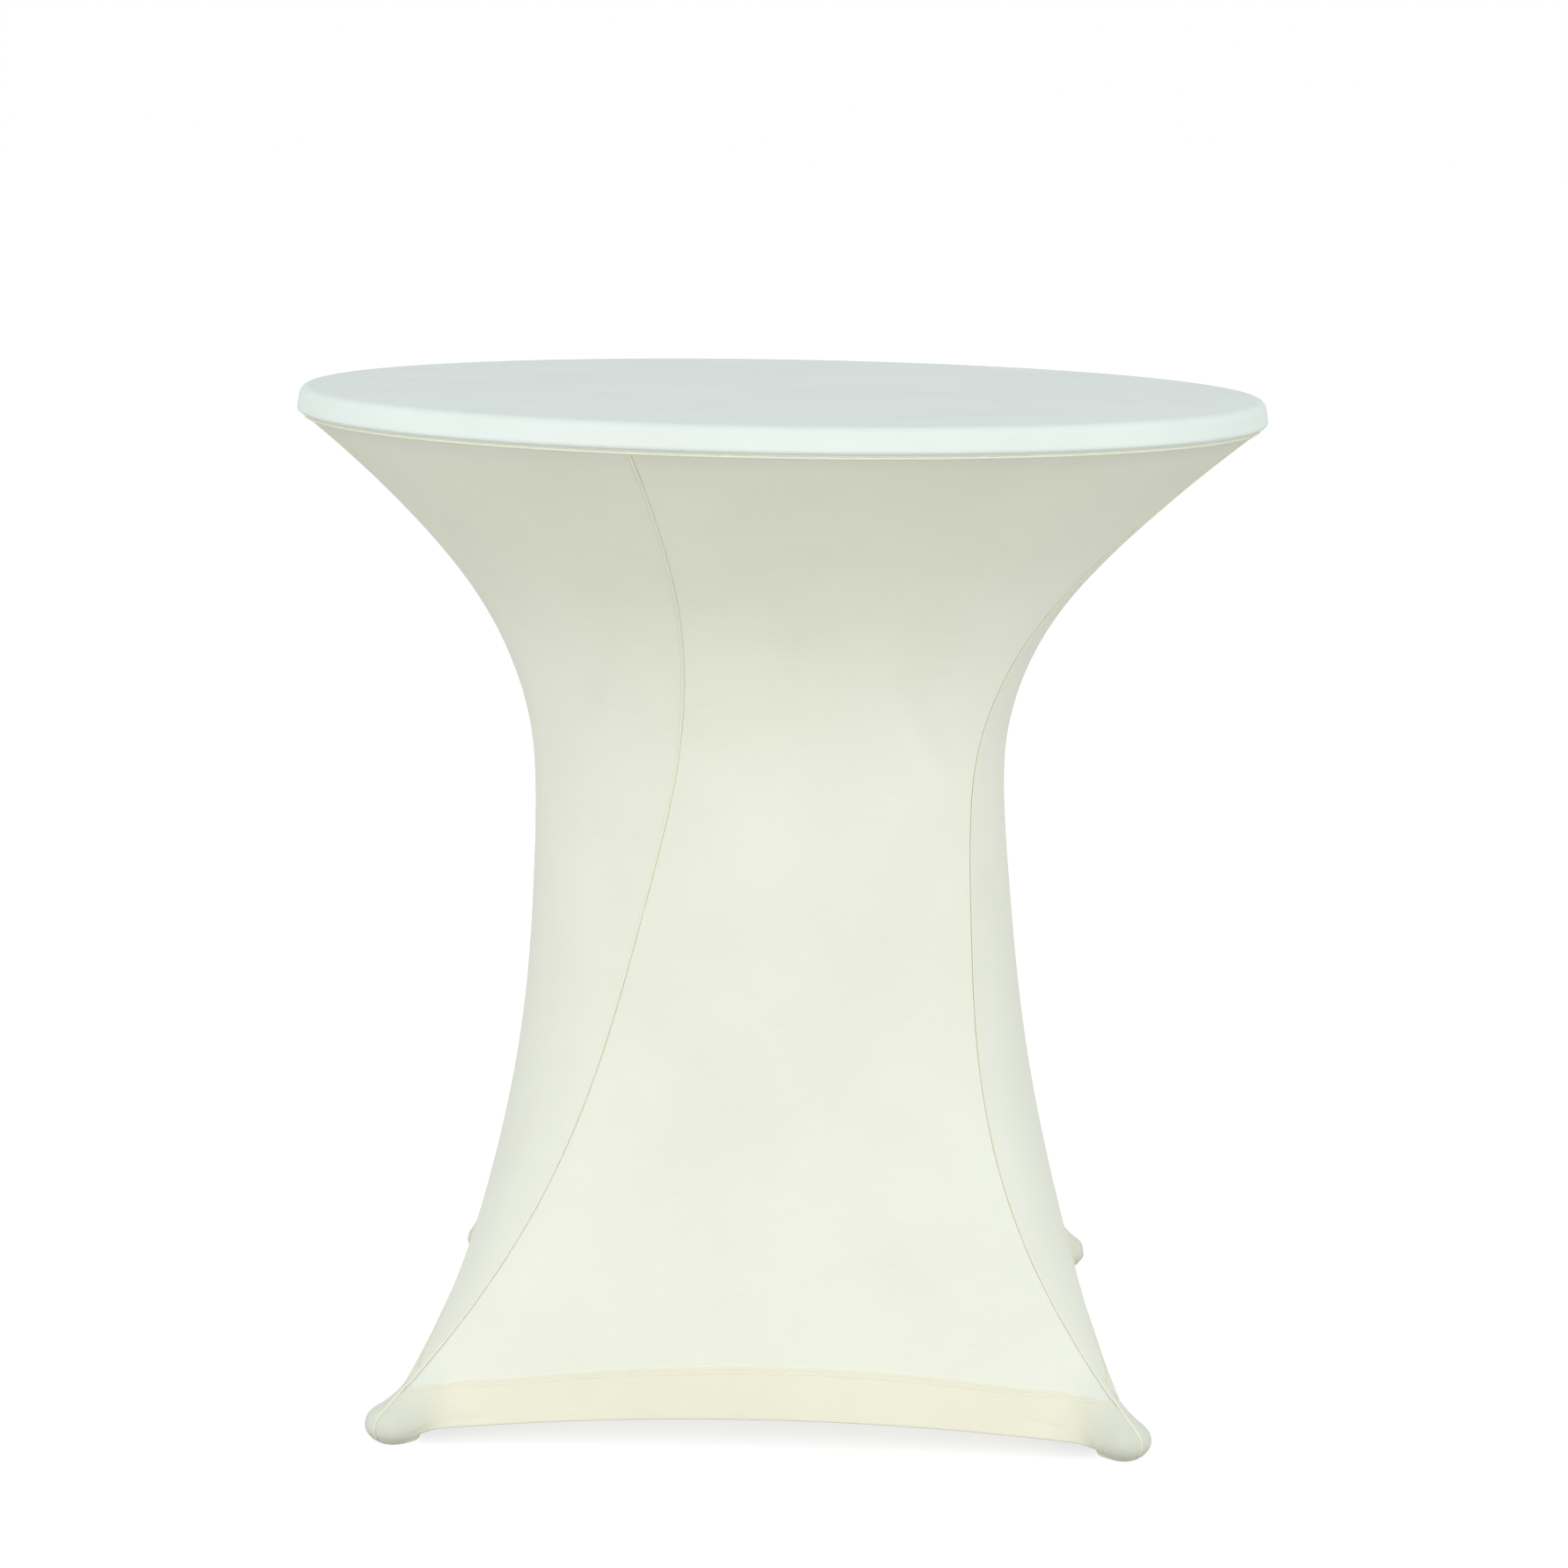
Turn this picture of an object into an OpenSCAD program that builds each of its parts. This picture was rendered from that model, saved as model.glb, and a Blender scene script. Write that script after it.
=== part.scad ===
// Round standing table dressed in a fitted stretch cover.
// Origin: on the floor, under the middle of the table top. +Z is up, -Y is the front.

/* [Table top] */
// Diameter over the dressed rim
rim_d = 1069; // [1040:1:1090]
// Height of the dressed table top above the floor
table_h = 1092; // [1060:1:1120]
// Thickness of the wooden board
board_t = 25; // [22:1:28]
// Width of the edge moulding, measured inwards from the rim
moulding_w = 14; // [14:0.5:18]
// Radius of the moulding's upper outer corner
moulding_top_r = 10; // [8:0.5:11]
// Radius of the moulding's lower outer corner
moulding_low_r = 3; // [2:0.5:4]
// How far the moulding's side leans in towards the top
moulding_lean = 2; // [1:0.5:3]

/* [Pedestal] */
// Outer diameter of the column
column_d = 76; // [70:1:80]
// Wall thickness of the column
column_wall = 2; // [1.5:0.5:3]
// Diameter of the steel plate under the board
plate_d = 320; // [300:5:400]
// Diameter of the base hub
hub_d = 156; // [150:1:180]
// Width of a base arm
arm_w = 36; // [32:1:38]
// Height of a base arm
arm_h = 22; // [21:1:22]
// Wall thickness of a base arm
arm_wall = 2; // [1.5:0.5:2]
// Sideways distance of the two front feet from the middle
toe_front_x = 379; // [360:1:390]
// Sideways distance of the two back feet from the middle
toe_back_x = 341; // [330:1:390]
// Distance of all four feet from the middle, towards the front or the back
toe_y = 387; // [360:1:395]

/* [Levelling glides] */
// Diameter of a glide's pad
glide_d = 32; // [26:1:34]
// Diameter of a glide's threaded stud
stud_d = 8; // [8:1:8]
// Travel of a glide as it is screwed up into its arm
glide_travel = 5; // [3:0.5:5]

/* [Stretch cover] */
// Thickness of the knitted fabric
fabric_t = 1.2; // [0.8:0.1:1.4]
// How far inside the rim the skirt leaves it
skirt_inset = 8.5; // [8:0.5:16]
// Radius of the waist
waist_r = 259; // [240:1:290]
// Height of the waist above the floor
waist_z = 688; // [640:1:720]
// Depth of the double hem band
hem_h = 50; // [40:1:60]
// Radius of a foot pocket
pocket_r = 29; // [29:0.5:31]
// Height of a foot pocket
pocket_h = 46; // [45:1:50]

/* [Hidden] */
$fn = 96;

fabric_gap = 0.3;                                // space between the fabric and what it wraps
rim_r = rim_d / 2;
moulding_out_r = rim_r - fabric_t - fabric_gap;  // outside of the moulding
board_r = moulding_out_r - moulding_w;
board_top = table_h - fabric_t - fabric_gap;
board_bottom = board_top - board_t;
plate_t = 5;
plate_z = board_bottom - plate_t;
boss_r = 44;
boss_h = 15.5;
column_top = plate_z - boss_h;
spigot_r = column_d / 2 - column_wall - 0.15;    // pushes into the column
spigot_h = 24;
screw_count = 8;
screw_ring_r = plate_d / 2 - 20;
screw_r = 2.3;
screw_depth = 17;
screw_head_r = 5;
screw_head_h = 3.2;
tongue_t = 1.6;                                  // barbed tongue that holds the moulding
tongue_l = 11;

hub_bottom = 7;
hub_top = 44;
arm_bottom = 13;
arm_top = arm_bottom + arm_h;
arm_start = 30;                                  // inner end of an arm, from the column's axis
arm_past_glide = 17;                             // an arm's tube runs this far past its glide
cap_t = 3;
cap_plug_l = 7;
arm_clearance = 0.3;
bolt_r = 4;
bolt_hole_r = 4.2;
bolt_rings = [50, 66];                           // two bolts hold each arm in the hub
bolt_head_r = 7;
bolt_head_h = 3.4;
bolt_sink_h = 4;                                 // the bolt heads sit in the underside of the hub
bolt_nut_h = 6.5;
bolt_l = hub_top - hub_bottom - bolt_sink_h + bolt_nut_h + 3;
rod_r = 5;
rod_hole_r = 5.2;
rod_recess_r = 14;
rod_recess_h = 12;
washer_t = 2.5;
washer_r = 10;
rod_nut_h = 7.6;

stud_r = stud_d / 2;
stud_hole_r = stud_r + 0.35;
pad_bottom = fabric_t + 0.4;
pad_h = 3.6;
collar_h = arm_bottom - glide_travel - 0.5 - pad_bottom - pad_h;
stud_top = arm_bottom + arm_h - arm_wall - glide_travel - 0.5;
glide_nut_h = 6.4;

// Feet in the order front left, front right, back right, back left
toes = [[-toe_front_x, -toe_y], [toe_front_x, -toe_y], [toe_back_x, toe_y], [-toe_back_x, toe_y]];
// Directions in which the four skirt seams leave the rim, in the same order
seam_top_angles = [-107, -5, 78, 166];

skirt_top_r = rim_r - skirt_inset;
skirt_top_z = board_bottom - 4.3;
skirt_t = 2.2;                                   // measured level, because the skirt flares
hem_t = 2.6;
hem_low = 8;                                     // hem's lower edge beside a foot
hem_rise = 14;                                   // and how much higher it is between two feet
hem_inset = 58;                                  // how far the hem bows inwards between two feet
corner_out = 25;                                 // the skirt's corner stands past the glide's axis
seam_r = 1.2;
seam_gap = 2.2;
twist_low = 0.3;                                 // the seams wind round between these two heights
twist_high = 0.85;
flare_power = 1.6;
body_bottom_r = 341;
body_power = 1.6;
corner_power = 3.8;
corner_full_z = 60;                              // below this the skirt follows the line of the hem

function mix(a, b, t) = a + (b - a) * t;
function clamp01(x) = min(1, max(0, x));
function smooth(x) = x * x * (3 - 2 * x);
function bow(s) = 4 * s * (1 - s);
function toe_angle(k) = atan2(toes[k % 4].y, toes[k % 4].x) + (k > 3 ? 360 : 0);
function top_angle(k) = seam_top_angles[k % 4] + (k > 3 ? 360 : 0);
function toe_radius(k) = norm(toes[k % 4]);

// Corner of the skirt at foot k, a little outside its glide
function corner(k) = toes[k % 4] * (1 + corner_out / toe_radius(k));

// Fraction of the way from the waist down to the floor
function below_waist(z) = clamp01((waist_z - z) / (waist_z - hem_low));

// How far the skirt is drawn out towards the feet, from 0 at the waist to 1 along the hem
function foot_pull(z) = pow(clamp01((waist_z - z) / (waist_z - corner_full_z)), corner_power);

// Radius of the skirt's round part
function body_r(z) = z > waist_z
    ? mix(waist_r, skirt_top_r, pow((z - waist_z) / (skirt_top_z - waist_z), flare_power))
    : mix(waist_r, body_bottom_r, pow(below_waist(z), body_power));

// Direction of the point that lies the fraction s along panel k
function panel_angle(k, s, z) =
    let (turn = smooth(clamp01((z / skirt_top_z - twist_low) / (twist_high - twist_low))))
    mix(mix(toe_angle(k), toe_angle(k + 1), s), mix(top_angle(k), top_angle(k + 1), s), turn);

// Line of the hem between feet k and k + 1, seen from above
function hem_line(k, s) =
    let (a = corner(k), b = corner(k + 1), along = (b - a) / norm(b - a))
    mix(a, b, s) + [-along.y, along.x] * hem_inset * bow(s);

// Outside of the skirt: round above the waist, drawn out to the four feet at the floor
function skirt_point(k, s, z) =
    let (angle = panel_angle(k, s, z),
         plan = mix(body_r(z) * [cos(angle), sin(angle)], hem_line(k, s), foot_pull(z)))
    [plan.x, plan.y, z];

function hem_edge_z(s) = hem_low + hem_rise * bow(s);
function inwards(p, t) = let (r = norm([p.x, p.y])) [p.x * (1 - t / r), p.y * (1 - t / r), p.z];

// Fraction of a panel's width that its two seams take up at one height
function seam_margin(k, z) = seam_gap / norm(skirt_point(k, 1, z) - skirt_point(k, 0, z));

// Rows of points over panel k, between two heights that may differ along the panel
function panel_grid(k, high, low, columns, rows) = [
    for (j = [0 : rows]) [
        for (i = [0 : columns])
            let (s = i / columns, z = mix(high, is_undef(low) ? hem_edge_z(s) + hem_h : low, j / rows),
                 margin = seam_margin(k, z))
            skirt_point(k, mix(margin, 1 - margin, s), z)
    ]
];

function band_grid(k, top_cut, columns, rows) = [
    for (j = [0 : rows]) [
        for (i = [0 : columns])
            let (s = i / columns, z = hem_edge_z(s) + (hem_h - top_cut) * (1 - j / rows))
            skirt_point(k, mix(0.002, 0.998, s), z)
    ]
];

// Closed sheet between a grid of outer points and the same grid moved inwards
module sheet(grid, t) {
    rows = len(grid);
    cols = len(grid[0]);
    points = concat([for (row = grid) each row], [for (row = grid) for (p = row) inwards(p, t)]);
    back = rows * cols;
    faces = concat(
        [for (j = [0 : rows - 2]) for (i = [0 : cols - 2]) let (a = j * cols + i)
            each [[a, a + 1, a + cols], [a + 1, a + cols + 1, a + cols]]],
        [for (j = [0 : rows - 2]) for (i = [0 : cols - 2]) let (a = back + j * cols + i)
            each [[a, a + cols, a + 1], [a + 1, a + cols, a + cols + 1]]],
        [for (i = [0 : cols - 2]) for (edge = [[0, 0], [(rows - 1) * cols, 1]]) let (a = edge[0] + i)
            each edge[1] == 0
                ? [[a, a + back, a + 1], [a + 1, a + back, a + back + 1]]
                : [[a, a + 1, a + back], [a + 1, a + back + 1, a + back]]],
        [for (j = [0 : rows - 2]) for (edge = [[0, 0], [cols - 1, 1]]) let (a = edge[0] + j * cols)
            each edge[1] == 0
                ? [[a, a + cols, a + back], [a + cols, a + cols + back, a + back]]
                : [[a, a + back, a + cols], [a + cols, a + back, a + cols + back]]]
    );
    polyhedron(points, faces);
}

// Thin rope of thread along a line of points that runs down the skirt
module thread_rope(path, r, sides = 8) {
    last = len(path) - 1;
    rings = [
        for (i = [0 : last])
            let (d = path[min(i + 1, last)] - path[max(i - 1, 0)], t = d / norm(d),
                 side = cross(t, [0, 0, 1]), a = side / norm(side), b = cross(t, a))
            [for (q = [0 : sides - 1]) path[i] + r * (a * cos(360 * q / sides) + b * sin(360 * q / sides))]
    ];
    faces = concat(
        [[for (q = [0 : sides - 1]) q]],
        [[for (q = [sides - 1 : -1 : 0]) last * sides + q]],
        [for (i = [0 : last - 1]) for (q = [0 : sides - 1])
            let (a = i * sides + q, b = i * sides + (q + 1) % sides)
            each [[a, a + sides, b], [b, a + sides, b + sides]]]
    );
    polyhedron([for (ring = rings) each ring], faces);
}

// Flat outline with round corners, made of squares and circles
module rounded_rect(w, h, r) {
    square([w - 2 * r, h], center = true);
    square([w, h - 2 * r], center = true);
    for (x = [-1, 1], y = [-1, 1]) translate([x * (w / 2 - r), y * (h / 2 - r)]) circle(r, $fn = 48);
}

module hex(across_flats, h) { cylinder(d = across_flats / cos(30), h = h, $fn = 6); }
module tube(r_out, r_in, h) {
    difference() { cylinder(r = r_out, h = h); translate([0, 0, -1]) cylinder(r = r_in, h = h + 2); }
}
module on_ring(count, r) { for (i = [0 : count - 1]) rotate(360 * i / count) translate([r, 0, 0]) children(); }
// Places a child at the foot of arm k, with +X pointing outwards along the arm
module at_toe(k) { rotate(toe_angle(k)) translate([toe_radius(k), 0, 0]) children(); }

module table_board() {
    color("burlywood") difference() {
        translate([0, 0, board_bottom]) cylinder(r = board_r - 0.1, h = board_t, $fn = 240);
        translate([0, 0, board_bottom - 1]) on_ring(screw_count, screw_ring_r)
            cylinder(r = screw_r + 0.1, h = screw_depth + 2);
        translate([0, 0, board_bottom + board_t / 2]) rotate_extrude($fn = 240)
            translate([board_r - tongue_l - 0.5, -tongue_t / 2 - 0.1]) square([tongue_l + 2, tongue_t + 0.2]);
    }
}

// Section of the rim: a side that leans in towards the top, between two rounded corners
module rim_section(inside, outside, low, high, low_r, top_r) {
    top_outside = outside - moulding_lean;
    intersection() {
        union() {
            polygon([[inside, low], [outside - low_r, low], [outside, low + low_r],
                [top_outside, high - top_r], [top_outside - top_r, high], [inside, high]]);
            translate([outside - low_r, low + low_r]) circle(low_r, $fn = 64);
            translate([top_outside - top_r, high - top_r]) circle(top_r, $fn = 64);
        }
        translate([inside, low]) square([outside - inside, high - low]);
    }
}

module edge_moulding() {
    color("sienna") rotate_extrude($fn = 240) {
        rim_section(board_r, moulding_out_r, board_bottom, board_bottom + board_t,
            moulding_low_r, moulding_top_r);
        translate([board_r - tongue_l, board_bottom + (board_t - tongue_t) / 2])
            square([tongue_l + 1, tongue_t]);
    }
}

module top_plate() {
    color("dimgray") difference() {
        union() {
            translate([0, 0, plate_z]) cylinder(d = plate_d, h = plate_t, $fn = 160);
            translate([0, 0, column_top]) cylinder(r = boss_r, h = boss_h + 1);
            translate([0, 0, column_top - spigot_h]) cylinder(r = spigot_r, h = spigot_h + 1);
        }
        translate([0, 0, column_top - spigot_h - 1]) cylinder(r = rod_hole_r, h = 200);
        translate([0, 0, board_bottom - rod_recess_h]) cylinder(r = rod_recess_r, h = rod_recess_h + 1);
        translate([0, 0, plate_z - 1]) on_ring(screw_count, screw_ring_r)
            cylinder(r = screw_r + 0.3, h = plate_t + 2);
    }
}

module top_plate_screws() {
    color("silver") on_ring(screw_count, screw_ring_r) difference() {
        union() {
            translate([0, 0, plate_z - screw_head_h]) cylinder(r = screw_head_r, h = screw_head_h);
            translate([0, 0, plate_z - 1]) cylinder(r = screw_r, h = plate_t + screw_depth);
        }
        for (a = [0, 90]) translate([0, 0, plate_z - screw_head_h]) rotate(a) cube([6, 1, 3], center = true);
    }
}

module column_tube() {
    color("darkgray") translate([0, 0, hub_top])
        tube(column_d / 2, column_d / 2 - column_wall, column_top - hub_top);
}

module tie_rod() {
    color("silver") translate([0, 0, hub_bottom + 1.5]) cylinder(r = rod_r, h = board_bottom - hub_bottom - 3);
}

module tie_rod_washers() {
    color("silver") {
        translate([0, 0, hub_bottom + rod_recess_h - washer_t]) tube(washer_r, rod_r + 0.3, washer_t);
        translate([0, 0, board_bottom - rod_recess_h]) tube(washer_r, rod_r + 0.3, washer_t);
    }
}

module rod_nut() {
    difference() { hex(17, rod_nut_h); translate([0, 0, -1]) cylinder(r = rod_r + 0.1, h = rod_nut_h + 2); }
}

module tie_rod_nuts() {
    color("gainsboro") {
        translate([0, 0, hub_bottom + rod_recess_h - washer_t - rod_nut_h]) rod_nut();
        translate([0, 0, board_bottom - rod_recess_h + washer_t]) rod_nut();
    }
}

module base_hub() {
    color("dimgray") difference() {
        union() {
            translate([0, 0, hub_bottom]) cylinder(d = hub_d, h = hub_top - hub_bottom);
            translate([0, 0, hub_top - 1]) cylinder(r = spigot_r, h = spigot_h + 1);
        }
        translate([0, 0, hub_bottom - 1]) cylinder(r = rod_hole_r, h = 200);
        translate([0, 0, hub_bottom - 1]) cylinder(r = rod_recess_r, h = rod_recess_h + 1);
        for (k = [0 : 3]) rotate(toe_angle(k)) {
            translate([arm_start - arm_clearance, -arm_w / 2 - arm_clearance, arm_bottom - arm_clearance])
                cube([hub_d, arm_w + 2 * arm_clearance, arm_h + 2 * arm_clearance]);
            for (r = bolt_rings) translate([r, 0, hub_bottom - 1]) {
                cylinder(r = bolt_hole_r, h = hub_top - hub_bottom + 2);
                cylinder(r = bolt_head_r + 0.5, h = bolt_sink_h + 1);
            }
        }
    }
}

module base_arm(k) {
    length = toe_radius(k) + arm_past_glide - arm_start;
    color("gray") rotate(toe_angle(k)) difference() {
        translate([arm_start, 0, arm_bottom + arm_h / 2]) rotate([90, 0, 90]) linear_extrude(length)
            difference() {
                rounded_rect(arm_w, arm_h, 4);
                rounded_rect(arm_w - 2 * arm_wall, arm_h - 2 * arm_wall, 2.5);
            }
        for (r = bolt_rings) translate([r, 0, 0]) cylinder(r = bolt_hole_r, h = 100);
        translate([toe_radius(k), 0, 0]) cylinder(r = stud_hole_r, h = arm_bottom + arm_wall + 1);
    }
}

module arm_bolts() {
    color("silver") for (k = [0 : 3]) rotate(toe_angle(k)) for (r = bolt_rings) translate([r, 0, 0]) {
        translate([0, 0, hub_bottom + bolt_sink_h - bolt_head_h]) cylinder(r = bolt_head_r, h = bolt_head_h);
        translate([0, 0, hub_bottom + bolt_sink_h - 1]) cylinder(r = bolt_r, h = bolt_l);
    }
}

module arm_bolt_nuts() {
    color("gainsboro") for (k = [0 : 3]) rotate(toe_angle(k)) for (r = bolt_rings)
        translate([r, 0, hub_top]) difference() {
            hex(13, bolt_nut_h);
            translate([0, 0, -1]) cylinder(r = bolt_r + 0.1, h = bolt_nut_h + 2);
        }
}

module arm_end_caps() {
    color("black") for (k = [0 : 3]) at_toe(k) translate([arm_past_glide, 0, arm_bottom + arm_h / 2])
        rotate([90, 0, 90]) {
            linear_extrude(cap_t) rounded_rect(arm_w, arm_h, 4);
            translate([0, 0, -cap_plug_l]) linear_extrude(cap_plug_l + 1)
                rounded_rect(arm_w - 2 * arm_wall - 0.4, arm_h - 2 * arm_wall - 0.4, 2.3);
        }
}

module glide_nuts() {
    color("silver") for (k = [0 : 3]) at_toe(k) translate([0, 0, arm_bottom + arm_wall + 0.1]) difference() {
        hex(13, glide_nut_h);
        translate([0, 0, -1]) cylinder(r = stud_hole_r, h = glide_nut_h + 2);
    }
}

module glide_stud(k) {
    color("silver") at_toe(k) {
        translate([0, 0, pad_bottom + pad_h]) hex(13, collar_h);
        translate([0, 0, pad_bottom + pad_h + 1]) cylinder(r = stud_r, h = stud_top - pad_bottom - pad_h - 1);
    }
}

module glide_pad(k) {
    color("darkslategray") at_toe(k) translate([0, 0, pad_bottom]) {
        cylinder(d = glide_d, h = pad_h - 2);
        translate([0, 0, pad_h - 3]) cylinder(d = glide_d - 8, h = 3);
    }
}

module rim_slab(inset) {
    around = fabric_gap + fabric_t - inset;
    rim_section(0, rim_r - inset, board_bottom - around, table_h - inset,
        moulding_low_r + around, moulding_top_r + around);
}

module cover_top_panel() {
    color("ivory") rotate_extrude($fn = 240) intersection() {
        difference() {
            rim_slab(0);
            rim_slab(fabric_t);
            square([skirt_top_r + 2, board_bottom]);
        }
        square([rim_r + 1, table_h + 1]);
    }
}

module cover_rim_seam() {
    color("beige") translate([0, 0, board_bottom - 1.9]) rotate_extrude($fn = 160)
        translate([skirt_top_r + 0.4, 0]) circle(1.3, $fn = 24);
}

module skirt_panel(k) {
    color("ivory") sheet(panel_grid(k, skirt_top_z, undef, 14, 24), skirt_t);
}

module skirt_seam(k) {
    path = [for (i = [1 : 36]) skirt_point(k, 0, mix(skirt_top_z, corner_full_z, i / 37))];
    color("beige") thread_rope(path, seam_r);
}

module hem_band(k) {
    color("lemonchiffon") difference() {
        sheet(band_grid(k, 1.5, 20, 2), hem_t);
        for (foot = [k, k + 1]) rotate(toe_angle(foot)) translate([toe_radius(foot), 0, -1])
            cylinder(r = pocket_r + 0.5, h = pocket_h + hem_h);
    }
}

module pocket_outline(inset) {
    low_r = 5 - inset;
    high_r = 12 - inset;
    w = pocket_r - inset;
    translate([0, inset]) square([w - high_r, pocket_h - 2 * inset]);
    translate([0, inset + low_r]) square([w, pocket_h - 2 * inset - low_r - high_r]);
    translate([0, inset]) square([w - low_r, pocket_h / 2]);
    translate([w - low_r, inset + low_r]) circle(low_r, $fn = 48);
    translate([w - high_r, pocket_h - inset - high_r]) circle(high_r, $fn = 48);
}

module foot_pocket(k) {
    color("lemonchiffon") at_toe(k) difference() {
        rotate_extrude() intersection() {
            difference() { pocket_outline(0); pocket_outline(fabric_t); }
            square([pocket_r + 1, pocket_h + 1]);
        }
        translate([-2 * pocket_r, -arm_w / 2 - 1.5, arm_bottom - 4])
            cube([2 * pocket_r, arm_w + 3, arm_h + 6]);
    }
}

table_board();
edge_moulding();
top_plate();
top_plate_screws();
column_tube();
tie_rod();
tie_rod_nuts();
tie_rod_washers();
base_hub();
base_arm(0);  // base_arm_front_left
base_arm(1);  // base_arm_front_right
base_arm(2);  // base_arm_back_right
base_arm(3);  // base_arm_back_left
arm_bolts();
arm_bolt_nuts();
arm_end_caps();
glide_nuts();
glide_stud(0);  // glide_stud_front_left
glide_stud(1);  // glide_stud_front_right
glide_stud(2);  // glide_stud_back_right
glide_stud(3);  // glide_stud_back_left
glide_pad(0);  // glide_pad_front_left
glide_pad(1);  // glide_pad_front_right
glide_pad(2);  // glide_pad_back_right
glide_pad(3);  // glide_pad_back_left
cover_top_panel();
cover_rim_seam();
skirt_panel(0);  // skirt_panel_front
skirt_panel(1);  // skirt_panel_right
skirt_panel(2);  // skirt_panel_back
skirt_panel(3);  // skirt_panel_left
skirt_seam(0);  // skirt_seam_front_left
skirt_seam(1);  // skirt_seam_front_right
skirt_seam(2);  // skirt_seam_back_right
skirt_seam(3);  // skirt_seam_back_left
hem_band(0);  // hem_band_front
hem_band(1);  // hem_band_right
hem_band(2);  // hem_band_back
hem_band(3);  // hem_band_left
foot_pocket(0);  // foot_pocket_front_left
foot_pocket(1);  // foot_pocket_front_right
foot_pocket(2);  // foot_pocket_back_right
foot_pocket(3);  // foot_pocket_back_left
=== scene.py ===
import math

import bpy
import numpy as np
from mathutils import Matrix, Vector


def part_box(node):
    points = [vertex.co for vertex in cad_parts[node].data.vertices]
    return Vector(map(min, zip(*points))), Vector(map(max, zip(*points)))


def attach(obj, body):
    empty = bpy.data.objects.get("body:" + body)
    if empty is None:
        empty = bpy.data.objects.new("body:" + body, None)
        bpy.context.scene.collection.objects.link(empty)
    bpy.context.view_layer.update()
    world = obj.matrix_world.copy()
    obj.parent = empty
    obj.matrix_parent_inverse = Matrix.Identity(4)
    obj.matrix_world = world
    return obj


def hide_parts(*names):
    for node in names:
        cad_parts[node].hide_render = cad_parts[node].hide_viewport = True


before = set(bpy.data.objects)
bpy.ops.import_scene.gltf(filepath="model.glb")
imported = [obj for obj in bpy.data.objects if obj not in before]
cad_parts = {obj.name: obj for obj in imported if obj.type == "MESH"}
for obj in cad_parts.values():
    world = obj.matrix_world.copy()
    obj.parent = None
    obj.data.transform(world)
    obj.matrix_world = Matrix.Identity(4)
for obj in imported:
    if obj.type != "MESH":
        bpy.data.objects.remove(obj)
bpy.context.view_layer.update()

# ---------------------------------------------------------------- places taken from the CAD frame

FEET = ("front_left", "front_right", "back_right", "back_left")
SIDES = ("front", "right", "back", "left")


def middle(node):
    low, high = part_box(node)
    return (low + high) / 2


RIM_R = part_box("cover_top_panel")[1].x  # outside of the dressed rim
TOP_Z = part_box("cover_top_panel")[1].z
RIM_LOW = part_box("cover_top_panel")[0].z
RING_IN, RING_DOWN = 0.0020, 0.0012  # the rim seam, which joins the skirt to the top panel, lies this far
RING_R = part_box("cover_rim_seam")[1].x - RING_IN  # inside the outside of its CAD ring
RING_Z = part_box("skirt_panel_front")[1].z - RING_DOWN  # and under the skirt's top
TOES = np.array([list(middle(f"glide_pad_{f}"))[:2] for f in FEET])

# ---------------------------------------------------------------- shape of the cover (metres, degrees)

RIM_LEAN = 0.0020  # the rim's side stands this much further out at its lower edge
RIM_TOP_ROUND, RIM_LOW_ROUND = 0.0115, 0.0045  # radii of its two rounded edges

# The pulls and the seam angles are results of a least-squares fit to the photo's outline and seams, rounded.
SEAM_ANGLES = (-105.8, -14.0, 83.0, 169.8)  # where the four seams leave the rim
TIGHT_V = (0, 0.10, 0.20, 0.28, 0.34, 0.40, 0.50, 0.65, 0.80, 1)  # down the skirt
TIGHT = (4.5, 5.6, 17.6, 14.4, 17.2, 5.0, 0.1, 4.0, 4.7, 0.1)  # how hard the knit pulls round it there
SIDE_TIGHT = (1.40, 0.74, 0.67, 1.30)  # the same, for the front, right, back and left panels
SEAM_PULL = 0.16  # a seam carries as much as this share of a panel
HEM_BOW_IN = 0.022  # the hem's edge curves inwards between the feet
HEM_BOW_UP = 0.019  # and rises by this much
HEM_LOW = 0.013  # from this height above the floor
FOOT_CLOSED = 0.029  # the sleeve is closed this far round the foot from its tip
FOOT_OPENS = 0.045  # and opens over this distance
FOOT_OUT = 0.039  # corner of the hem's line, outside the glide's axis
FOOT_LONGER = 0.03  # the feet are taken to be this much longer while the net is first hung clear of them

TOE_END = 0.0360  # a dressed foot: its tip is this far outside the glide's axis
TOE_WIDE, TOE_HIGH, TOE_LONG = 0.0270, 0.0405, 0.26  # half its width, its height and its length
TOE_ROUND = 0.022  # rounding of the tip, seen from above
TOE_CROWN, TOE_CROWN_H = 0.030, 0.022  # how far in and how far down its upper edge is rounded
TOE_TUCK, TOE_TUCK_H = 0.012, 0.018  # below this height the foot draws in by as much as the tuck
SOLE_Z = 0.0035  # height of the hem's edge under a foot
FLOOR_GAP = 0.0010  # least height of the cloth above the floor

KNIT = 0.0010  # thickness of one layer
HEM_THICK = 0.0021  # thickness of the hem's two layers
HEM_DEPTH = 0.054
HEM_AT_TOE = 0.076  # the band is this deep where it wraps the foot
SEAM_DIP, SEAM_DIP_WIDE = 0.0009, 0.0014  # the cloth sinks into a seam this deep and this far on each side
WAIST_CREASE, WAIST_CREASE_WIDE = 0.0042, 0.015  # depth and half width of the creases
HEM_CREASE, HEM_CREASE_WIDE = 0.0019, 0.0035
# Soft creases: panel, seam they are measured from (0 first, 1 last), start and end as (off the seam, down)
WAIST_CREASES = ((0, 1, (0.146, 0.37), (0.020, 0.51)), (3, 1, (0.100, 0.36), (0.134, 0.485)))
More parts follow.
